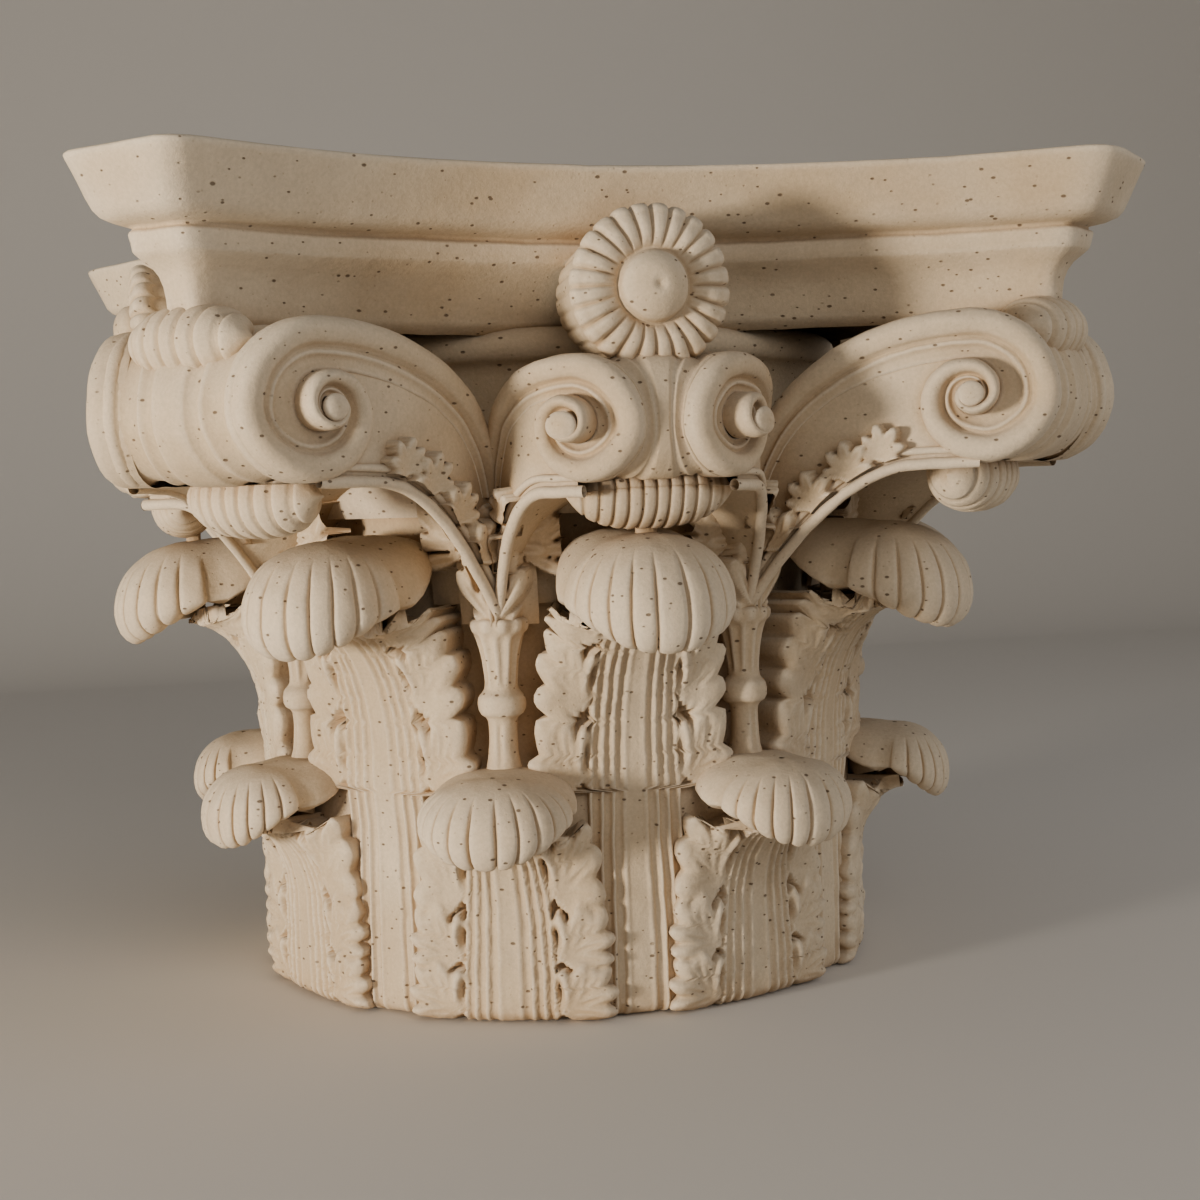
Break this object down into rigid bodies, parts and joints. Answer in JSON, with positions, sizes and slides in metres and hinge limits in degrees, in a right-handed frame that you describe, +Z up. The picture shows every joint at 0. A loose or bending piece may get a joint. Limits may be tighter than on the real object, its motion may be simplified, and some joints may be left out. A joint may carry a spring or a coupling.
{
  "type": "corinthian capital",
  "caption": "Carved limestone column capital with acanthus leaf rows, corner volutes, inner helices, fleurons and a hollow-sided moulded abacus.",
  "frame": {"origin": "centre of the flat round bottom bed, which stands on the column shaft", "axes": "+Z up along the column's axis, -Y out of one face of the abacus through its fleuron, +X to the right of that face"},
  "size_m": [0.66, 0.66, 0.525],
  "materials": {
    "limestone": "matt, fine-pitted carved limestone"
  },
  "bodies": {
    "root": {"corinthian_capital": "limestone"}
  },
  "joints": []
}
